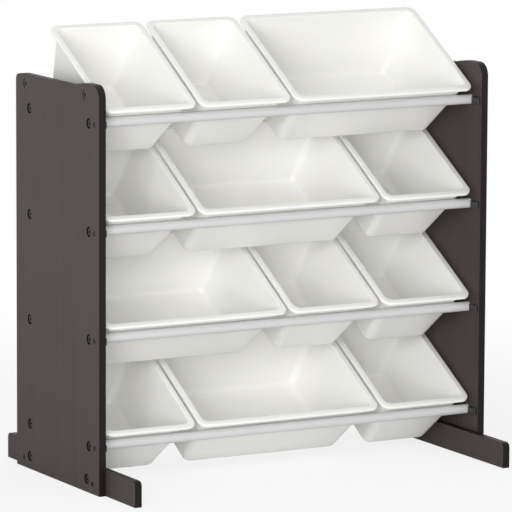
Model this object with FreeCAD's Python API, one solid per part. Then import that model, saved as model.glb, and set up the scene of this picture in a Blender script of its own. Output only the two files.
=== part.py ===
import FreeCAD, Part
import os
from math import atan, cos, sin, tan, radians

# Toy storage organizer: two dark side boards on long floor feet, white rails in pairs between
# them, and four tiers of tilted white bins that rest between the rails.
# Axes: +X to the right as seen from the open front, +Y towards the back, +Z up.
# Origin: on the floor, midway between the boards and midway along the feet.
# All lengths in millimetres, angles in degrees.

# ---------------------------------------------------------------- driving sizes
overall_width = 857.0      # outer face to outer face of the side boards
board_thickness = 15.0     # side boards
board_depth = 358.0        # front edge to back edge of a side board
board_height = 787.0       # floor to the raised front of the top edge
board_front_corner = 26.0  # radius of the front top corner
board_back_corner = 12.0   # radius of the back top corner
board_step_from_front = 42.0  # where the top edge starts to come down, behind the front edge
board_step_length = 97.0   # length of that curved step along the edge
board_step_drop = 9.5      # height lost over the step
board_tail_length = 40.0   # last stretch of the top edge, falling to the back corner
board_tail_drop = 5.0
board_edge_round = 1.5     # rounding of the long edges of boards and feet

foot_thickness = 15.0      # floor foot, fixed to the inner face of each board
foot_height = 50.0
foot_front_reach = 121.0   # foot beyond the front edge of the board
foot_back_reach = 71.0     # foot beyond the back edge of the board
foot_end_round = 10.0      # radius of the top corners of a foot

tier_count = 4
lowest_rail_height = 91.0  # centre of the lowest pair of rails
highest_rail_below_top = 75.0  # centre of the highest pair below the raised front of the boards
rail_diameter = 19.0
rail_wall = 1.2
rail_from_front = 42.0     # centre of the front rails behind the front edge of the board

bin_tilt = 30.0            # rim plane above the horizontal, opening turned to the front
bin_length = 280.0         # front to back along the rim
bin_gap = 6.75             # between neighbouring bins, and between a bin and a board
bin_depth = 151.0          # rim top to underside, square to the rim
bin_wall = 2.4
bin_side_draft = 8.0       # lean of the side walls
bin_front_draft = 19.5
bin_back_draft = 2.0
bin_round = 16.0           # outer radius of the corners and of the floor edges
rim_width = 10.0           # flange reaching out all round
rim_lip = 4.5              # rim top to the lower edge of the turned-down lip
rim_lip_wall = 2.2
rim_edge_chamfer = 1.0     # along the outer top edge of the rim
rim_corner = 20.0
rim_above_rail = 33.0      # rim top to the centre of the front rail, square to the rim
seat_gap = 0.3             # air between a resting bin and a round rail

bolt_diameter = 6.0
bolt_head_diameter = 16.0
bolt_head_thickness = 3.5
bolt_recess_diameter = 20.0
bolt_recess_depth = 5.0
bolt_socket_width = 5.0
bolt_into_rail = 16.0      # bolt beyond the inner face of the board
bolt_into_foot = 10.0
screw_diameter = 3.5
screw_head_diameter = 8.0
screw_head_thickness = 2.5
screw_recess_diameter = 10.0
screw_recess_depth = 3.0
screw_beyond_board = 4.0   # screw beyond the inner face of the board
running_clearance = 0.05   # radial, shank in hole
push_clearance = 0.02      # radial, plug in tube or insert in board

plug_length = 20.0         # threaded plug inside each rail end
insert_diameter = 9.0      # threaded insert inside the feet
insert_length = 12.0

stop_length = 26.0         # dark end block ahead of every front rail
stop_height = 13.5
stop_thickness = 5.0
stop_behind_front = 5.0    # block behind the front edge of the board

foot_bolt_height = 26.0
foot_bolt_from_front = 52.0
foot_bolt_from_back = 59.0
foot_screw_height = 20.0
foot_screw_from_front = 27.0
foot_screw_from_back = 34.0

cap_diameter = 20.0        # round cover caps near the top corners of each board
cap_thickness = 4.0
cap_recess_depth = 5.0
cap_dimple_diameter = 9.0
cap_dimple_depth = 1.5
cap_from_front = 58.0
cap_from_back = 44.0
cap_below_top_front = 22.0
cap_below_top_back = 28.0

# ---------------------------------------------------------------- places worked out from the sizes
foot_length = board_depth + foot_front_reach + foot_back_reach
front_edge = -foot_length / 2 + foot_front_reach
back_edge = front_edge + board_depth
inner_face = overall_width / 2 - board_thickness
rail_radius = rail_diameter / 2
rail_length = 2 * inner_face
front_rail_y = front_edge + rail_from_front
tier_pitch = (board_height - highest_rail_below_top - lowest_rail_height) / (tier_count - 1)
rail_heights = [lowest_rail_height + tier_pitch * (tier_count - 1 - n) for n in range(tier_count)]
tilt_cos = cos(radians(bin_tilt))
tilt_sin = sin(radians(bin_tilt))
# A large bin is as wide as two small ones, and a tier holds two small bins and a large one.
small_bin_width = (2 * inner_face - 4 * bin_gap) / 4
large_bin_width = 2 * small_bin_width


def from_rail(along, square):
    """Offset in (Y, Z) of a distance along the rim plane and a distance square to it."""
    return (along * tilt_cos - square * tilt_sin, along * tilt_sin + square * tilt_cos)


# The front wall of a bin leans on the front rail: place of the rim's front top edge from the
# centre of that rail.
wall_at_rail = rim_width + rim_above_rail * tan(radians(bin_front_draft))
rim_ahead = wall_at_rail - (rail_radius + seat_gap) / cos(radians(bin_front_draft))
rim_from_rail = from_rail(-rim_ahead, rim_above_rail)
# The back rail has the height of the front rail and touches the sloping underside of the bins.
floor_drop = bin_depth + rail_radius + seat_gap
back_rail_along = (floor_drop * tilt_cos - rim_from_rail[1]) / tilt_sin
back_rail_y = front_rail_y + rim_from_rail[0] + from_rail(back_rail_along, -floor_drop)[0]

tier_layouts = [
    ("small", "small", "large"),
    ("small", "large", "small"),
    ("large", "small", "small"),
    ("small", "large", "small"),
]
bin_widths = {"small": small_bin_width, "large": large_bin_width}
place_names = ("left", "middle", "right")

os.makedirs("parts", exist_ok=True)


# ---------------------------------------------------------------- helpers
def save(name, shape):
    shape.exportStep(os.path.join("parts", name + ".step"))
    print(name, len(shape.Solids), round(shape.Volume / 1000, 1), "cm3")


def vec(x, y, z):
    return FreeCAD.Vector(x, y, z)


def rod(radius, x_from, x_to, y, z):
    """Cylinder lying along X between two X places."""
    low = min(x_from, x_to)
    return Part.makeCylinder(radius, abs(x_to - x_from), vec(low, y, z), vec(1, 0, 0))


def box(x_from, x_to, y_from, y_to, z_from, z_to):
    size = (abs(x_to - x_from), y_to - y_from, z_to - z_from)
    return Part.makeBox(size[0], size[1], size[2], vec(min(x_from, x_to), y_from, z_from))


def rounded_wire(x_from, x_to, y_from, y_to, radius, z):
    """Closed rectangle with round corners, flat at one height."""
    k = radius * (1 - cos(radians(45)))
    p = [
        vec(x_from + radius, y_from, z), vec(x_to - radius, y_from, z),
        vec(x_to - k, y_from + k, z),
        vec(x_to, y_from + radius, z), vec(x_to, y_to - radius, z),
        vec(x_to - k, y_to - k, z),
        vec(x_to - radius, y_to, z), vec(x_from + radius, y_to, z),
        vec(x_from + k, y_to - k, z),
        vec(x_from, y_to - radius, z), vec(x_from, y_from + radius, z),
        vec(x_from + k, y_from + k, z),
    ]
    edges = []
    for n in range(4):
        a = p[3 * n]
        b = p[3 * n + 1]
        middle = p[3 * n + 2]
        c = p[(3 * n + 3) % 12]
        edges.append(Part.makeLine(a, b))
        edges.append(Part.Arc(b, middle, c).toShape())
    return Part.Wire(edges)


def plate(x_from, x_to, y_from, y_to, radius, z_from, z_to):
    face = Part.Face(rounded_wire(x_from, x_to, y_from, y_to, radius, z_from))
    return face.extrude(vec(0, 0, z_to - z_from))


def flat_edges(shape, z):
    """Edges that lie wholly at one height."""
    return [e for e in shape.Edges if all(abs(v.Z - z) < 1e-4 for v in e.Vertexes)]


def side_outline(points, x):
    """Closed wire in a plane of constant X from ('line'|'arc', points) steps."""
    edges = []
    for kind, ends in points:
        spots = [vec(x, y, z) for y, z in ends]
        if kind == "line":
            edges.append(Part.makeLine(spots[0], spots[1]))
        else:
            edges.append(Part.Arc(spots[0], spots[1], spots[2]).toShape())
    return Part.Wire(edges)


def cross_edges(shape, y, z):
    """Edges through the thickness of a board at one place of its outline."""
    return [e for e in shape.Edges if all(abs(v.Y - y) + abs(v.Z - z) < 1e-4 for v in e.Vertexes)]


def long_edges(shape, x_places):
    """Edges lying in one of the two broad faces of a board."""
    found = []
    for edge in shape.Edges:
        for x in x_places:
            if edge.BoundBox.XLength < 1e-4 and abs(edge.BoundBox.XMin - x) < 1e-4:
                found.append(edge)
    return found


# ---------------------------------------------------------------- side boards
def bend(y, z, run, fall):
    """Arc in (Y, Z) that leaves a point level and comes down by `fall` over `run`."""
    half = atan(fall / run)
    radius = run / sin(2 * half)
    middle = (y + radius * sin(half), z - radius * (1 - cos(half)))
    return [(y, z), middle, (y + run, z - fall)]


def board_blank(side):
    """Side board without holes: flat sheet whose top edge steps down behind the front corner."""
    top = board_height
    level = top - board_step_drop
    tail = level - board_tail_drop
    step_from = front_edge + board_step_from_front
    step_to = step_from + board_step_length
    tail_from = back_edge - board_tail_length
    half_run = board_step_length / 2
    half_drop = board_step_drop / 2
    rise = bend(step_to, level, -half_run, -half_drop)
    steps = [
        ("line", [(front_edge, 0), (front_edge, top)]),
        ("line", [(front_edge, top), (step_from, top)]),
        ("arc", bend(step_from, top, half_run, half_drop)),
        ("arc", [rise[2], rise[1], rise[0]]),
        ("line", [(step_to, level), (tail_from, level)]),
        ("arc", bend(tail_from, level, board_tail_length, board_tail_drop)),
        ("line", [(back_edge, tail), (back_edge, 0)]),
        ("line", [(back_edge, 0), (front_edge, 0)]),
    ]
    outer = side * (inner_face + board_thickness)
    sheet = Part.Face(side_outline(steps, side * inner_face))
    board = sheet.extrude(vec(outer - side * inner_face, 0, 0))
    board = board.makeFillet(board_front_corner, cross_edges(board, front_edge, top))
    board = board.makeFillet(board_back_corner, cross_edges(board, back_edge, tail))
    return board.makeFillet(board_edge_round, long_edges(board, [outer]))


def bolt_hole(side, y, z):
    """Clearance hole through a board with a round recess for the head."""
    outer = side * (inner_face + board_thickness)
    hole = rod(bolt_diameter / 2 + running_clearance, side * inner_face, outer, y, z)
    recess = rod(bolt_recess_diameter / 2, outer - side * bolt_recess_depth, outer, y, z)
    return [hole, recess]


def screw_hole(side, y, z):
    outer = side * (inner_face + board_thickness)
    hole = rod(screw_diameter / 2 + running_clearance, side * inner_face, outer, y, z)
    recess = rod(screw_recess_diameter / 2, outer - side * screw_recess_depth, outer, y, z)
    return [hole, recess]


rail_spots = [(front_rail_y, z) for z in rail_heights] + [(back_rail_y, z) for z in rail_heights]
stop_from = front_edge + stop_behind_front
stop_spots = [(stop_from + stop_length / 2, z) for z in rail_heights]
foot_bolt_spots = [
    (front_edge + foot_bolt_from_front, foot_bolt_height),
    (back_edge - foot_bolt_from_back, foot_bolt_height),
]
foot_screw_spots = [
    (front_edge + foot_screw_from_front, foot_screw_height),
    (back_edge - foot_screw_from_back, foot_screw_height),
]
cap_spots = [
    (front_edge + cap_from_front, board_height - cap_below_top_front),
    (back_edge - cap_from_back, board_height - cap_below_top_back),
]


def side_board(side):
    board = board_blank(side)
    outer = side * (inner_face + board_thickness)
    cuts = []
    for y, z in rail_spots + foot_bolt_spots:
        cuts += bolt_hole(side, y, z)
    for y, z in stop_spots + foot_screw_spots:
        cuts += screw_hole(side, y, z)
    for y, z in cap_spots:
        cuts.append(rod(cap_diameter / 2, outer - side * cap_recess_depth, outer, y, z))
    return board.cut(Part.makeCompound(cuts))


# ---------------------------------------------------------------- floor feet
def foot(side):
    near = side * inner_face
    far = side * (inner_face - foot_thickness)
    start = -foot_length / 2
    end = foot_length / 2
    quarter = 1 - cos(radians(45))
    r = foot_end_round
    top = foot_height
    steps = [
        ("line", [(start, 0), (start, top - r)]),
        ("arc", [(start, top - r), (start + r * quarter, top - r * quarter), (start + r, top)]),
        ("line", [(start + r, top), (end - r, top)]),
        ("arc", [(end - r, top), (end - r * quarter, top - r * quarter), (end, top - r)]),
        ("line", [(end, top - r), (end, 0)]),
        ("line", [(end, 0), (start, 0)]),
    ]
    bar = Part.Face(side_outline(steps, near)).extrude(vec(far - near, 0, 0))
    bar = bar.makeFillet(board_edge_round, long_edges(bar, [far]))
    cuts = []
    for y, z in foot_bolt_spots:
        cuts.append(rod(insert_diameter / 2 + push_clearance, near, near - side * insert_length, y, z))
    for y, z in foot_screw_spots:
        cuts.append(rod(screw_diameter / 2 + running_clearance, near,
                        near - side * (screw_beyond_board + 1), y, z))
    return bar.cut(Part.makeCompound(cuts))


def foot_insert(side, y, z):
    near = side * inner_face
    sleeve = rod(insert_diameter / 2, near, near - side * insert_length, y, z)
    bore = rod(bolt_diameter / 2 + running_clearance, near, near - side * insert_length, y, z)
    return sleeve.cut(bore)


# ---------------------------------------------------------------- rails and their fixings
def rail(y, z):
    tube = rod(rail_radius, -inner_face, inner_face, y, z)
    return tube.cut(rod(rail_radius - rail_wall, -inner_face, inner_face, y, z))


def rail_plug(side, y, z):
    """Threaded plug pushed into a rail end, flush with the board."""
    near = side * inner_face
    far = near - side * plug_length
    plug = rod(rail_radius - rail_wall - push_clearance, near, far, y, z)
    bore_end = near - side * (bolt_into_rail + 1)
    return plug.cut(rod(bolt_diameter / 2 + running_clearance, near, bore_end, y, z))


def bolt(side, y, z, beyond):
    """Round-headed bolt let into the outer face, with a six-sided socket in the head."""
    outer = side * (inner_face + board_thickness)
    seat = outer - side * bolt_recess_depth
    crown = seat + side * bolt_head_thickness
    head = rod(bolt_head_diameter / 2, seat, crown, y, z)
    rim = [e for e in head.Edges if abs(e.BoundBox.XMin - crown) < 1e-4 and e.BoundBox.XLength < 1e-4]
    head = head.makeFillet(1.2, rim)
    shank = rod(bolt_diameter / 2, seat, side * (inner_face - beyond), y, z)
    corners = []
    for n in range(7):
        turn = radians(60 * n)
        reach = bolt_socket_width / 2 / cos(radians(30))
        corners.append(vec(crown, y + reach * cos(turn), z + reach * sin(turn)))
    socket = Part.Face(Part.makePolygon(corners)).extrude(vec(-side * 2.2, 0, 0))
    return head.fuse(shank).cut(socket).removeSplitter()


def screw(side, y, z):
    outer = side * (inner_face + board_thickness)
    seat = outer - side * screw_recess_depth
    crown = seat + side * screw_head_thickness
    head = rod(screw_head_diameter / 2, seat, crown, y, z)
    shank = rod(screw_diameter / 2, seat, side * (inner_face - screw_beyond_board), y, z)
    slot_low = box(crown, crown - side * 1.0, y - 2.4, y + 2.4, z - 0.5, z + 0.5)
    slot_high = box(crown, crown - side * 1.0, y - 0.5, y + 0.5, z - 2.4, z + 2.4)
    return head.fuse(shank).cut(slot_low).cut(slot_high).removeSplitter()


def stop_block(side, y, z):
    """Dark block on the inner face, between the front edge and the front rail."""
    near = side * inner_face
    far = near - side * stop_thickness
    block = box(near, far, y - stop_length / 2, y + stop_length / 2,
                z - stop_height / 2, z + stop_height / 2)
    block = block.makeFillet(1.5, long_edges(block, [far]))
    pilot = rod(screw_diameter / 2 + running_clearance, near,
                near - side * (screw_beyond_board + 0.4), y, z)
    return block.cut(pilot)


def cover_cap(side, y, z):
    outer = side * (inner_face + board_thickness)
    seat = outer - side * cap_recess_depth
    crown = seat + side * cap_thickness
    cap = rod(cap_diameter / 2 - push_clearance, seat, crown, y, z)
    return cap.cut(rod(cap_dimple_diameter / 2, crown - side * cap_dimple_depth, crown, y, z))


# ---------------------------------------------------------------- bins
def slope(depth, draft):
    return depth * tan(radians(draft))


def corner_points(half_width, front, back, z):
    return [vec(-half_width, front, z), vec(half_width, front, z),
            vec(half_width, back, z), vec(-half_width, back, z)]


def polygon_face(points):
    return Part.Face(Part.makePolygon(points + points[:1]))


def tub(width, inset, depth, edge_round):
    """Tapered block centred on X, `inset` inside the rim's outline, open edges left sharp."""
    half = width / 2 - inset
    high = corner_points(half, inset, bin_length - inset, 0)
    low = corner_points(half - slope(depth, bin_side_draft),
                        inset + slope(depth, bin_front_draft),
                        bin_length - inset - slope(depth, bin_back_draft), -depth)
    faces = [polygon_face(high), polygon_face(low)]
    for n in range(4):
        m = (n + 1) % 4
        faces.append(polygon_face([high[n], high[m], low[m], low[n]]))
    block = Part.makeSolid(Part.makeShell(faces))
    rounded = [edge for edge in block.Edges if edge.BoundBox.ZMin < -depth / 2]
    return block.makeFillet(edge_round, rounded)


def make_bin(width):
    """Bin in its own frame: rim top at Z 0, front of the rim at Y 0, centred on X."""
    body = tub(width, rim_width, bin_depth, bin_round)
    cavity = tub(width, rim_width + bin_wall, bin_depth - bin_wall, bin_round - bin_wall)
    half = width / 2
    flange = plate(-half, half, 0, bin_length, rim_corner, -rim_lip, 0)
    flange = flange.makeChamfer(rim_edge_chamfer, flat_edges(flange, 0))
    inset = rim_lip_wall
    hollow = plate(inset - half, half - inset, inset, bin_length - inset, rim_corner - inset,
                   -rim_lip, -bin_wall)
    return body.fuse(flange.cut(hollow)).cut(cavity).removeSplitter()


def place_bin(shape, x, rail_z):
    placed = shape.copy()
    placed.rotate(vec(0, 0, 0), vec(1, 0, 0), bin_tilt)
    placed.translate(vec(x, front_rail_y + rim_from_rail[0], rail_z + rim_from_rail[1]))
    return placed


# ---------------------------------------------------------------- build and save
sides = (("left", -1), ("right", 1))
for side_name, side in sides:
    save("side_panel_" + side_name, side_board(side))
    save("foot_" + side_name, foot(side))

for n, z in enumerate(rail_heights):
    save("front_rail_" + str(n + 1), rail(front_rail_y, z))
    save("back_rail_" + str(n + 1), rail(back_rail_y, z))

both = (-1, 1)
save("rail_end_plugs", Part.makeCompound([rail_plug(s, y, z) for s in both for y, z in rail_spots]))
save("rail_bolts",
     Part.makeCompound([bolt(s, y, z, bolt_into_rail) for s in both for y, z in rail_spots]))
save("rail_stop_blocks", Part.makeCompound([stop_block(s, y, z) for s in both for y, z in stop_spots]))
save("stop_block_screws", Part.makeCompound([screw(s, y, z) for s in both for y, z in stop_spots]))
save("foot_inserts",
     Part.makeCompound([foot_insert(s, y, z) for s in both for y, z in foot_bolt_spots]))
save("foot_bolts",
     Part.makeCompound([bolt(s, y, z, bolt_into_foot) for s in both for y, z in foot_bolt_spots]))
save("foot_screws", Part.makeCompound([screw(s, y, z) for s in both for y, z in foot_screw_spots]))
save("cover_caps", Part.makeCompound([cover_cap(s, y, z) for s in both for y, z in cap_spots]))

bin_shapes = {size: make_bin(width) for size, width in bin_widths.items()}
for n, layout in enumerate(tier_layouts):
    edge = -inner_face
    for place, size in zip(place_names, layout):
        edge += bin_gap
        centre = edge + bin_widths[size] / 2
        edge += bin_widths[size]
        save("bin_" + str(n + 1) + "_" + place, place_bin(bin_shapes[size], centre, rail_heights[n]))
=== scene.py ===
# %% [markdown]
# # A toy storage organizer with bins
#
# Two dark side boards stand on long floor feet. White rails run between them in pairs, and
# twelve white bins rest between the rails with their openings turned to the front. The solid
# model is loaded first and never moved: it gives every place and size. This lesson then dresses
# it, with smooth moulded bins, round rails and finishes for each surface, a pale studio and a
# camera at the angle of the photograph.

# %% Load the solid model
from math import radians, cos, sin, tan, pi

import bpy
from mathutils import Matrix, Vector


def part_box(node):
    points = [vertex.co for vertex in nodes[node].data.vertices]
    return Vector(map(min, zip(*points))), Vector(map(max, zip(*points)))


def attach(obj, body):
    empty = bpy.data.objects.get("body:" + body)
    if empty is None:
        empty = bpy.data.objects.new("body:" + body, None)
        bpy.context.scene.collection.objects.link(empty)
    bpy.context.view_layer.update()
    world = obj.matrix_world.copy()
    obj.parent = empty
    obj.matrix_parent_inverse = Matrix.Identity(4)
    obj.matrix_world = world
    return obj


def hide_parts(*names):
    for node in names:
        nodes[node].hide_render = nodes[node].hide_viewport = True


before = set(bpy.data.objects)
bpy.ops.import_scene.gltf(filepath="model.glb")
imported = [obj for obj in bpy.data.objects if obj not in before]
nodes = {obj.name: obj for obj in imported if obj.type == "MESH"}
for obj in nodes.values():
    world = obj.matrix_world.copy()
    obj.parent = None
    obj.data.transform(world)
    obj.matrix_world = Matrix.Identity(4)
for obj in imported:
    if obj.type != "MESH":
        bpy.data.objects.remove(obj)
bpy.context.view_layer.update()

# %% [markdown]
# Everything loaded is still selected. Most operators act on the whole selection, so a small
# helper clears it before each new piece is started.

# %% Clear the selection
def deselect_everything():
    for thing in list(bpy.context.selected_objects):
        thing.select_set(False)
    bpy.context.view_layer.objects.active = None


deselect_everything()
print("selected now:", len(bpy.context.selected_objects))

# %% [markdown]
# Colours are written as the sRGB hex values one would pick from a picture. The shader wants
# linear light, so one function does the conversion. A second one adds a node with its settings
# and its inputs: a socket is linked, a text is a hex colour, and anything else is a plain value.
# That keeps each finish short to read.

# %% Colour and node helpers
def linear(hex_colour):
    channels = []
    for n in (1, 3, 5):
        value = int(hex_colour[n:n + 2], 16) / 255
        channels.append(value / 12.92 if value <= 0.04045 else ((value + 0.055) / 1.055) ** 2.4)
    return (*channels, 1.0)


def add_node(tree, kind, settings=None, inputs=None):
    node = tree.nodes.new(kind)
    for name, value in (settings or {}).items():
        setattr(node, name, value)
    for name, value in (inputs or {}).items():
        if isinstance(value, bpy.types.NodeSocket):
            tree.links.new(value, node.inputs[name])
        elif isinstance(value, str):
            node.inputs[name].default_value = linear(value)
        else:
            node.inputs[name].default_value = value
    return node


print("white is", linear("#ffffff")[:3], "mid grey is", [round(c, 3) for c in linear("#808080")])

# %% [markdown]
# Every finish here is one Principled surface, and every pattern is sized in millimetres, so both
# get a small helper. Object coordinates are used throughout: a pattern then stays on its piece
# when the piece moves.

# %% Finish helpers
def new_finish(name, **surface):
    """A material with one Principled surface; the values go on its own sockets."""
    finish = bpy.data.materials.new(name)
    finish.use_nodes = True
    tree = finish.node_tree
    tree.nodes.clear()
    shader = add_node(tree, "ShaderNodeBsdfPrincipled", inputs=surface)
    add_node(tree, "ShaderNodeOutputMaterial", inputs={"Surface": shader.outputs["BSDF"]})
    return finish, tree, shader


def in_millimetres(tree, size, stretch=(1, 1, 1)):
    """Object coordinates scaled so that one unit of a pattern is `size` millimetres."""
    place = add_node(tree, "ShaderNodeTexCoord")
    per_metre = 1000 / size
    scale = tuple(per_metre / s for s in stretch)
    mapping = add_node(tree, "ShaderNodeMapping",
                       inputs={"Vector": place.outputs["Object"], "Scale": scale})
    return mapping.outputs["Vector"]


def coat(piece, finish):
    piece.data.materials.clear()
    piece.data.materials.append(finish)


print("finish helpers:", new_finish.__name__, in_millimetres.__name__, coat.__name__)

# %% [markdown]
# ## The boards: particle board wrapped in printed foil
#
# The side boards and feet are sawn board with a dark brown wood-print foil pressed on. To the
# eye that is an almost flat, satin dark brown with long, faint streaks that run up the boards
# and along the feet, and a slight unevenness in the sheen. The streaks are noise stretched
# along the grain. A grain line is about 2.5 mm wide and 300 mm long. The narrow edges carry a
# band of their own, darker than the faces, so the shader looks at which way the surface
# points: sideways is a face, everything else is edge.

# %% Foil-wrapped board
def board_finish(name, along):
    finish, tree, shader = new_finish(name, **{"IOR": 1.5, "Specular IOR Level": 0.15})
    stretch = [1.0, 1.0, 1.0]
    stretch["XYZ".index(along)] = 90.0
    streaks = add_node(tree, "ShaderNodeTexNoise",
                       inputs={"Vector": in_millimetres(tree, 5.0, stretch), "Scale": 1.0,
                               "Detail": 5.0, "Roughness": 0.6})
    clouds = add_node(tree, "ShaderNodeTexNoise",
                      inputs={"Vector": in_millimetres(tree, 120.0), "Scale": 1.0, "Detail": 2.0})
    grain = add_node(tree, "ShaderNodeMapRange",
                     inputs={"Value": streaks.outputs["Fac"], "From Min": 0.35, "From Max": 0.65})
    face = add_node(tree, "ShaderNodeMix", {"data_type": "RGBA"},
                    {"Factor": grain.outputs["Result"], "A": "#423a39", "B": "#473f3e"})
    band = add_node(tree, "ShaderNodeMix", {"data_type": "RGBA"},
                    {"Factor": grain.outputs["Result"], "A": "#1a1514", "B": "#1e1817"})
    place = add_node(tree, "ShaderNodeTexCoord")
    direction = add_node(tree, "ShaderNodeSeparateXYZ",
                         inputs={"Vector": place.outputs["Normal"]})
    sideways = add_node(tree, "ShaderNodeMath", {"operation": "ABSOLUTE"},
                        {0: direction.outputs["X"]})
    is_face = add_node(tree, "ShaderNodeMapRange",
                       inputs={"Value": sideways.outputs["Value"], "From Min": 0.6,
                               "From Max": 0.8})
    colour = add_node(tree, "ShaderNodeMix", {"data_type": "RGBA"},
                      {"Factor": is_face.outputs["Result"], "A": band.outputs["Result"],
                       "B": face.outputs["Result"]})
    tree.links.new(colour.outputs["Result"], shader.inputs["Base Color"])
    sheen = add_node(tree, "ShaderNodeMapRange",
                     inputs={"Value": clouds.outputs["Fac"], "To Min": 0.4, "To Max": 0.52})
    tree.links.new(sheen.outputs["Result"], shader.inputs["Roughness"])
    relief = add_node(tree, "ShaderNodeBump",
                      inputs={"Height": streaks.outputs["Fac"], "Strength": 0.025,
                              "Distance": 0.0004})
    tree.links.new(relief.outputs["Normal"], shader.inputs["Normal"])
    return finish


board_foil = board_finish("dark_foil_wrapped_board", "Z")
foot_foil = board_finish("dark_foil_wrapped_foot", "Y")
for side in ("left", "right"):
    coat(nodes["side_panel_" + side], board_foil)
    coat(nodes["foot_" + side], foot_foil)
print("boards and feet finished")

# %% [markdown]
# ## The fixings: blackened steel, black moulded caps and zinc
#
# The bolts and screws are steel with a black oxide finish, satin and a little metallic. The
# caps and the blocks ahead of the rails are moulded black plastic with a fine spark-eroded
# grain of about half a millimetre. Inserts and plugs are zinc-plated steel, pale and mottled.

# %% Blackened steel, black plastic and zinc
def grained_finish(name, dark, light, grain_mm, relief, **surface):
    """A base colour that wanders between two close tones, with a fine grain as relief."""
    finish, tree, shader = new_finish(name, **surface)
    mottle = add_node(tree, "ShaderNodeTexNoise",
                      inputs={"Vector": in_millimetres(tree, grain_mm * 8), "Scale": 1.0,
                              "Detail": 3.0})
    tone = add_node(tree, "ShaderNodeMix", {"data_type": "RGBA"},
                    {"Factor": mottle.outputs["Fac"], "A": dark, "B": light})
    tree.links.new(tone.outputs["Result"], shader.inputs["Base Color"])
    grain = add_node(tree, "ShaderNodeTexNoise",
                     inputs={"Vector": in_millimetres(tree, grain_mm), "Scale": 1.0,
                             "Detail": 2.0})
    bump = add_node(tree, "ShaderNodeBump",
                    inputs={"Height": grain.outputs["Fac"], "Strength": relief,
                            "Distance": 0.0002})
    tree.links.new(bump.outputs["Normal"], shader.inputs["Normal"])
    return finish


black_steel = grained_finish("black_oxide_steel", "#161515", "#201f1f", 0.6, 0.15,
                             Metallic=0.7, Roughness=0.3)
black_plastic = grained_finish("moulded_black_abs", "#161515", "#1d1c1c", 0.5, 0.3,
                               Roughness=0.36, IOR=1.53)
zinc = grained_finish("zinc_plated_steel", "#a9abad", "#c3c5c6", 0.8, 0.1,
                      Metallic=1.0, Roughness=0.35)
fixing_finishes = {
    "rail_bolts": black_steel, "foot_bolts": black_steel, "foot_screws": black_steel,
    "stop_block_screws": black_steel, "cover_caps": black_plastic,
    "rail_stop_blocks": black_plastic, "rail_end_plugs": zinc, "foot_inserts": zinc,
}
for node_name, finish in fixing_finishes.items():
    coat(nodes[node_name], finish)
print("fixings finished:", len(fixing_finishes))

# %% [markdown]
# ## The bins: moulded white polypropylene
#
# The bins are injection moulded in one piece: a tub with leaning walls and a rounded floor, and
# a rim that turns out and then down. Polypropylene of this thickness lets a little light
# through, which softens the shading inside the bins and warms it slightly, and its mould gives
# a satin skin with a fine grain. Light wandering under the surface is subsurface scattering;
# here it reaches about 2 mm, the thickness of a wall.

# %% Moulded polypropylene
def polypropylene(name):
    finish, tree, shader = new_finish(name, **{
        "Roughness": 0.36, "IOR": 1.49, "Subsurface Weight": 0.35, "Subsurface Scale": 0.002,
        "Subsurface Radius": (1.0, 0.95, 0.85)})
    haze = add_node(tree, "ShaderNodeTexNoise",
                    inputs={"Vector": in_millimetres(tree, 90.0), "Scale": 1.0, "Detail": 2.0})
    tone = add_node(tree, "ShaderNodeMix", {"data_type": "RGBA"},
                    {"Factor": haze.outputs["Fac"], "A": "#f2f1ee", "B": "#f4f4f1"})
    tree.links.new(tone.outputs["Result"], shader.inputs["Base Color"])
    grain = add_node(tree, "ShaderNodeTexNoise",
                     inputs={"Vector": in_millimetres(tree, 0.9), "Scale": 1.0, "Detail": 2.0})
    bump = add_node(tree, "ShaderNodeBump",
                    inputs={"Height": grain.outputs["Fac"], "Strength": 0.04,
                            "Distance": 0.0002})
    tree.links.new(bump.outputs["Normal"], shader.inputs["Normal"])
    return finish


bin_plastic = polypropylene("white_polypropylene_bin")
print("bin material ready:", bin_plastic.name)

# %% [markdown]
# ### Sizes of a bin
#
# The same sizes as in the solid model, here in metres. The drawing frame of a bin has the front
# of the rim at Y 0 and the rim top at Z 0, so that tilting it about the X axis turns it about
# its own front edge.

# %% Bin sizes in metres
bin_tilt = radians(30.0)
bin_length = 0.280
bin_depth = 0.151
bin_wall = 0.0024
side_lean = tan(radians(8.0))
front_lean = tan(radians(19.5))
back_lean = tan(radians(2.0))
bin_round = 0.016
rim_width = 0.010
rim_lip = 0.0045
rim_round = 0.020
rim_softness = 0.0013
corner_steps = 8
smooth_below = radians(35)
bin_widths = {"small": 0.200, "large": 0.400}
print("bin opening, small:", bin_widths["small"] - 2 * (rim_width + bin_wall))

# %% [markdown]
# ### Rings with round corners
#
# A bin is four rings stacked and joined: the lower edge of the lip, the rim, the opening and the
# floor. Each ring starts as a plane of the right size. Bevelling only its four corner points
# gives round corners, with the same number of points on every ring, so that two rings can be
# bridged by clean strips of faces.

# %% One ring with round corners
def ring(width, front, back, height, corner):
    middle = (0, (front + back) / 2, height)
    bpy.ops.mesh.primitive_plane_add(size=1.0, location=middle)
    loop = bpy.context.active_object
    bpy.ops.object.transform_apply(location=True)
    bpy.ops.object.mode_set(mode="EDIT")
    bpy.ops.mesh.select_all(action="SELECT")
    bpy.ops.transform.resize(value=(width, back - front, 1.0), center_override=middle)
    bpy.ops.mesh.bevel(offset=corner, segments=corner_steps, affect="VERTICES")
    bpy.ops.mesh.select_all(action="SELECT")
    bpy.ops.mesh.delete(type="ONLY_FACE")
    bpy.ops.object.mode_set(mode="OBJECT")
    return loop


deselect_everything()
trial = ring(0.1, 0.0, 0.1, 0.0, 0.01)
print("points on a ring:", len(trial.data.vertices))
bpy.data.objects.remove(trial)

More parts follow.
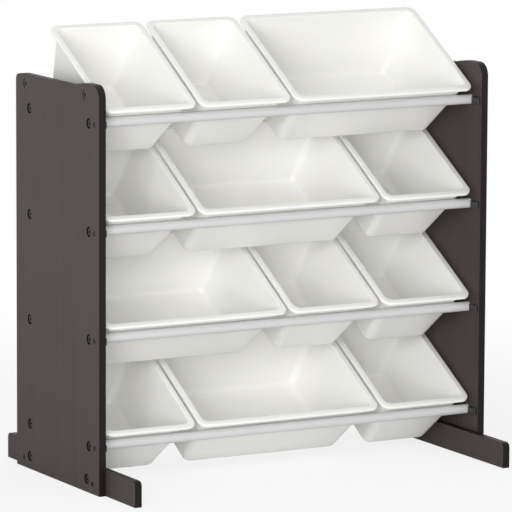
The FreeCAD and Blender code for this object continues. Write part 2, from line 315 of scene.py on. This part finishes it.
# %% [markdown]
# ### Joining the rings
#
# Each ring carries its level number on its points, so that any ring can be selected again after
# they are joined into one mesh. Neighbouring rings are bridged in pairs. The lowest ring is
# closed with one face, the floor, and its edge is bevelled into a wide curve. The walls lean, so
# the corner is wider than a right angle, and a bevel that reaches a little less far than the
# radius gives that radius.

# %% Select, bridge, close and round a level
bevel_reach = 0.84


def pick_levels(skin, *wanted):
    """Select the ring edges whose points carry one of the wanted level numbers."""
    bpy.ops.object.mode_set(mode="OBJECT")
    mesh = skin.data
    level = [0] * len(mesh.vertices)
    mesh.attributes["level"].data.foreach_get("value", level)
    for group in (mesh.polygons, mesh.edges, mesh.vertices):
        group.foreach_set("select", [False] * len(group))
    for edge in mesh.edges:
        a, b = edge.vertices
        if level[a] == level[b] and level[a] in wanted:
            edge.select = True
            mesh.vertices[a].select = True
            mesh.vertices[b].select = True
    bpy.ops.object.mode_set(mode="EDIT")
    bpy.ops.mesh.select_mode(type="EDGE")


def bridge_levels(skin, lower, upper):
    bpy.context.view_layer.objects.active = skin
    pick_levels(skin, lower, upper)
    bpy.ops.mesh.bridge_edge_loops()
    bpy.ops.object.mode_set(mode="OBJECT")


def close_level(skin, level):
    pick_levels(skin, level)
    bpy.ops.mesh.edge_face_add()
    bpy.ops.object.mode_set(mode="OBJECT")


def round_level(skin, level, radius, steps):
    pick_levels(skin, level)
    bpy.ops.mesh.bevel(offset=radius * bevel_reach, segments=steps, affect="EDGES",
                       clamp_overlap=True)
    bpy.ops.object.mode_set(mode="OBJECT")


print("tools ready:", pick_levels.__name__, bridge_levels.__name__, round_level.__name__)

# %% [markdown]
# ### Giving the wall its thickness
#
# The sheet so far is the skin one touches from above, so it must face up and inwards. The sharp
# edges of the rim are softened first. Solidify then adds the wall behind the skin, so the inside
# keeps its exact size, as it does when plastic is cast around a core.

# %% Turn the skin into a finished bin
def finish_bin(skin, name):
    skin.name = name
    skin.data.name = name
    skin.select_set(True)
    bpy.context.view_layer.objects.active = skin
    bpy.ops.object.mode_set(mode="EDIT")
    bpy.ops.mesh.select_all(action="SELECT")
    bpy.ops.mesh.remove_doubles(threshold=1e-6)
    bpy.ops.mesh.normals_make_consistent(inside=False)
    bpy.ops.object.mode_set(mode="OBJECT")
    floor_face = min(skin.data.polygons, key=lambda p: p.center.z)
    if floor_face.normal.z < 0:
        bpy.ops.object.mode_set(mode="EDIT")
        bpy.ops.mesh.select_all(action="SELECT")
        bpy.ops.mesh.flip_normals()
        bpy.ops.object.mode_set(mode="OBJECT")
    soft = skin.modifiers.new("rim_edges", "BEVEL")
    soft.width = rim_softness
    soft.segments = 3
    soft.limit_method = "ANGLE"
    soft.angle_limit = radians(50)
    bpy.ops.object.modifier_apply(modifier=soft.name)
    wall = skin.modifiers.new("wall", "SOLIDIFY")
    wall.thickness = bin_wall
    wall.offset = -1.0
    bpy.ops.object.modifier_apply(modifier=wall.name)
    bpy.ops.object.shade_smooth_by_angle(angle=smooth_below)
    coat(skin, bin_plastic)
    return skin


print("wall thickness:", bin_wall)

# %% [markdown]
# ### One bin of each size
#
# Four levels make a bin: the lower edge of the lip, the outer edge of the rim, the opening, and
# the floor, which is shorter and narrower because the walls lean inwards.

# %% Model a small and a large bin
def model_bin(name, width):
    deselect_everything()
    inset = rim_width + bin_wall
    open_width = width - 2 * inset
    depth = bin_depth - bin_wall
    inner_round = bin_round - bin_wall
    levels = [
        (width, 0, bin_length, -rim_lip, rim_round),
        (width, 0, bin_length, 0, rim_round),
        (open_width, inset, bin_length - inset, 0, inner_round),
        (open_width - 2 * depth * side_lean, inset + depth * front_lean,
         bin_length - inset - depth * back_lean, -depth, inner_round),
    ]
    skin = None
    for n, level in enumerate(levels):
        loop = ring(*level)
        loop.data.attributes.new("level", "INT", "POINT")
        numbers = [n] * len(loop.data.vertices)
        loop.data.attributes["level"].data.foreach_set("value", numbers)
        deselect_everything()
        if skin is None:
            skin = loop
            continue
        skin.select_set(True)
        loop.select_set(True)
        bpy.context.view_layer.objects.active = skin
        bpy.ops.object.join()
    floor_level = len(levels) - 1
    for n in range(floor_level):
        bridge_levels(skin, n, n + 1)
    close_level(skin, floor_level)
    round_level(skin, floor_level, inner_round, corner_steps)
    return finish_bin(skin, name)


bin_models = {}
for size, width in bin_widths.items():
    model = model_bin(size + "_bin_model", width)
    bin_models[size] = model
    print(size, "bin:", len(model.data.polygons), "faces,", [round(d, 4) for d in model.dimensions])

# %% [markdown]
# ### Twelve bins in their places
#
# The bin is copied, each copy with its own mesh, tilted about its front edge and moved so that
# its box meets the box of the solid bin. Applying the move leaves the object at the origin,
# as the solid pieces are. Each copy rides with the body of the bin that it stands for.

# %% Set the bins in the rows
tier_layouts = [
    ("small", "small", "large"),
    ("small", "large", "small"),
    ("large", "small", "small"),
    ("small", "large", "small"),
]


def set_bin(node_name, size):
    deselect_everything()
    copy = bin_models[size].copy()
    copy.data = bin_models[size].data.copy()
    copy.name = node_name + "_shell"
    copy.data.name = copy.name
    bpy.context.scene.collection.objects.link(copy)
    low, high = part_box(node_name)
    copy.data.transform(Matrix.Rotation(bin_tilt, 4, "X"))
    points = [v.co for v in copy.data.vertices]
    middle_x = (low.x + high.x) / 2
    front = low.y - min(p.y for p in points)
    top = high.z - max(p.z for p in points)
    copy.data.transform(Matrix.Translation((middle_x, front, top)))
    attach(copy, node_name + "_body")
    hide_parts(node_name)
    return copy


for row, layout in enumerate(tier_layouts):
    for place, size in zip(("left", "middle", "right"), layout):
        set_bin("bin_" + str(row + 1) + "_" + place, size)
for model in bin_models.values():
    bpy.data.objects.remove(model)

# %% [markdown]
# ## The rails: powder-coated steel tube
#
# The rails are thin round tubes, painted white in an oven. Powder coat flows into a very slight
# orange-peel of about 2 mm, seen only where the light grazes it.

# %% White powder coat
def powder_coat(name):
    finish, tree, shader = new_finish(name, **{"Roughness": 0.38, "IOR": 1.5})
    peel = add_node(tree, "ShaderNodeTexNoise",
                    inputs={"Vector": in_millimetres(tree, 2.0), "Scale": 1.0, "Detail": 1.0})
    dust = add_node(tree, "ShaderNodeTexNoise",
                    inputs={"Vector": in_millimetres(tree, 60.0), "Scale": 1.0, "Detail": 2.0})
    tone = add_node(tree, "ShaderNodeMix", {"data_type": "RGBA"},
                    {"Factor": dust.outputs["Fac"], "A": "#cacacb", "B": "#d1d1d1"})
    tree.links.new(tone.outputs["Result"], shader.inputs["Base Color"])
    bump = add_node(tree, "ShaderNodeBump",
                    inputs={"Height": peel.outputs["Fac"], "Strength": 0.1, "Distance": 0.0002})
    tree.links.new(bump.outputs["Normal"], shader.inputs["Normal"])
    return finish


rail_paint = powder_coat("white_powder_coated_tube")
print("rail paint ready")

# %% [markdown]
# A tube is modelled as a cylinder with many sides, so that its outline stays round. Its place,
# length and radius are read from the solid rail. Each end face is inset by the thickness of the
# tube wall and pushed in, as on a tube with a plug in its end.

# %% Round the rails
tube_sides = 48
tube_wall = 0.0012
plug_recess = 0.001


def model_rail(node_name):
    deselect_everything()
    low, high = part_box(node_name)
    radius = (high.z - low.z) / 2
    centre = (low + high) / 2
    bpy.ops.mesh.primitive_cylinder_add(vertices=tube_sides, radius=radius, depth=high.x - low.x,
                                        end_fill_type="NGON", location=centre,
                                        rotation=(0, pi / 2, 0))
    tube = bpy.context.active_object
    tube.name = node_name + "_tube"
    tube.data.name = tube.name
    bpy.ops.object.transform_apply(location=True, rotation=True, scale=True)
    bpy.ops.object.mode_set(mode="EDIT")
    bpy.ops.mesh.select_mode(type="FACE")
    bpy.ops.mesh.select_all(action="DESELECT")
    bpy.ops.object.mode_set(mode="OBJECT")
    for face in tube.data.polygons:
        face.select = abs(face.normal.x) > 0.9
    bpy.ops.object.mode_set(mode="EDIT")
    bpy.ops.mesh.inset(thickness=tube_wall)
    for end in (-1, 1):
        bpy.ops.object.mode_set(mode="OBJECT")
        for face in tube.data.polygons:
            face.select = face.normal.x * end > 0.9 and face.area > radius ** 2
        bpy.ops.object.mode_set(mode="EDIT")
        inward = (-end * plug_recess, 0, 0)
        bpy.ops.mesh.extrude_region_move(TRANSFORM_OT_translate={"value": inward})
    bpy.ops.object.mode_set(mode="OBJECT")
    bpy.ops.object.shade_smooth_by_angle(angle=smooth_below)
    coat(tube, rail_paint)
    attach(tube, "stand")
    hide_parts(node_name)
    return tube


for place in ("front", "back"):
    for tier in range(1, 5):
        model_rail(place + "_rail_" + str(tier))
print("rails rounded")

# %% [markdown]
# ## The studio
#
# A white floor keeps the soft shadow of the feet. Most of what the camera sees of it is even
# white paper, so four fifths of it glow for the camera alone. Between 0.7 and 2.2 metres from
# the middle it fades out, and the world takes over without an edge.

# %% Floor
glow_share = 0.8
fade_from, fade_to = 0.7, 2.2
deselect_everything()
bpy.ops.mesh.primitive_plane_add(size=8.0, location=(0, 0, 0))
floor = bpy.context.active_object
floor.name = "studio_floor"
paper, tree, shader = new_finish("white_paper_floor", **{"Roughness": 0.9,
                                                         "Base Color": "#fafafa"})
place = add_node(tree, "ShaderNodeTexCoord")
from_middle = add_node(tree, "ShaderNodeVectorMath", {"operation": "LENGTH"},
                       {0: place.outputs["Object"]})
fade = add_node(tree, "ShaderNodeMapRange", {"interpolation_type": "SMOOTHSTEP"},
                {"Value": from_middle.outputs["Value"], "From Min": fade_from,
                 "From Max": fade_to})
clear = add_node(tree, "ShaderNodeBsdfTransparent")
glow = add_node(tree, "ShaderNodeEmission", inputs={"Color": "#ffffff", "Strength": 1.0})
rays = add_node(tree, "ShaderNodeLightPath")
glowing = add_node(tree, "ShaderNodeMath", {"operation": "MULTIPLY"},
                   {0: rays.outputs["Is Camera Ray"], 1: glow_share})
seen = add_node(tree, "ShaderNodeMixShader",
                inputs={"Fac": glowing.outputs["Value"], 1: shader.outputs["BSDF"],
                        2: glow.outputs["Emission"]})
faded = add_node(tree, "ShaderNodeMixShader",
                 inputs={"Fac": fade.outputs["Result"], 1: seen.outputs["Shader"],
                         2: clear.outputs["BSDF"]})
surface_end = next(n for n in tree.nodes if n.type == "OUTPUT_MATERIAL")
tree.links.new(faded.outputs["Shader"], surface_end.inputs["Surface"])
coat(floor, paper)
print("floor laid")

# %% [markdown]
# The world looks white to the camera, in reflections and through clear things, which is a
# strength of 1. On the surfaces it gives a lower, even light, which the lamps add to.

# %% World
ambient_light = 0.54
world = bpy.data.worlds.new("studio_world")
bpy.context.scene.world = world
world.use_nodes = True
sky = world.node_tree
sky.nodes.clear()
rays = add_node(sky, "ShaderNodeLightPath")
ambient = add_node(sky, "ShaderNodeBackground",
                   inputs={"Color": "#ffffff", "Strength": ambient_light})
white = add_node(sky, "ShaderNodeBackground", inputs={"Color": "#ffffff", "Strength": 1.0})
seen_or_mirrored = add_node(sky, "ShaderNodeMath", {"operation": "ADD"},
                            {0: rays.outputs["Is Camera Ray"], 1: rays.outputs["Is Glossy Ray"]})
looks_white = add_node(sky, "ShaderNodeMath", {"operation": "ADD", "use_clamp": True},
                       {0: seen_or_mirrored.outputs["Value"],
                        1: rays.outputs["Is Transmission Ray"]})
blend = add_node(sky, "ShaderNodeMixShader",
                 inputs={"Fac": looks_white.outputs["Value"], 1: ambient.outputs["Background"],
                         2: white.outputs["Background"]})
add_node(sky, "ShaderNodeOutputWorld", inputs={"Surface": blend.outputs["Shader"]})
print("world set, even light of", ambient_light)

# %% [markdown]
# A large lamp in front on the left reaches into the bins, and a weak one overhead lifts the rims.
# Both are wide, so that the shadows stay soft.

# %% Lamps
def soft_lamp(name, place, aim, size, power):
    """A square area lamp: place and aim in metres, size across in metres, power in watts."""
    lamp = bpy.data.lights.new(name, "AREA")
    lamp.shape = "SQUARE"
    lamp.size = size
    lamp.energy = power
    holder = bpy.data.objects.new(name, lamp)
    bpy.context.scene.collection.objects.link(holder)
    holder.location = place
    holder.rotation_euler = (Vector(aim) - Vector(place)).to_track_quat("-Z", "Y").to_euler()
    return holder


soft_lamp("front_lamp", (-2.9, -4.0, 1.2), (0, 0, 0.4), 2.8, 178)
soft_lamp("top_lamp", (-0.4, -0.4, 3.2), (0, 0, 0), 2.6, 3)
print("lamps set")

# %% [markdown]
# ## The camera
#
# The photograph was taken from the front left, slightly above, with a long lens: the level
# lines come together only a little. The angles and the distance below come from matching the
# corners of the boards, the rails and the feet. The axes of the view are worked out from the
# angles, and the camera is set back along them from the point that it aims at.

# %% Camera at the photograph's place
turn = radians(28.71)
dip = radians(9.01)
roll = radians(0.28)
picture_width = 512
focal_in_pixels = 4756
distance = 9.349
aim = Vector((0.0, 0.025, 0.4))
aside = (-0.0070, -0.0085)

forward = Vector((sin(turn) * cos(dip), cos(turn) * cos(dip), -sin(dip)))
level_right = Vector((cos(turn), -sin(turn), 0))
level_up = level_right.cross(forward)
right = cos(roll) * level_right + sin(roll) * level_up
up = cos(roll) * level_up - sin(roll) * level_right
spot = aim - forward * distance - right * aside[0] - up * aside[1]

lens = bpy.data.cameras.new("long_lens")
lens.sensor_width = 36.0
lens.lens = focal_in_pixels / picture_width * lens.sensor_width
lens.clip_end = 60.0
camera = bpy.data.objects.new("camera", lens)
bpy.context.scene.collection.objects.link(camera)
camera.matrix_world = Matrix((
    (right.x, up.x, -forward.x, spot.x),
    (right.y, up.y, -forward.y, spot.y),
    (right.z, up.z, -forward.z, spot.z),
    (0, 0, 0, 1)))
bpy.context.scene.camera = camera
bpy.context.scene.view_settings.view_transform = "Standard"
print("camera at", [round(v, 3) for v in spot], "lens", round(lens.lens, 1), "mm")
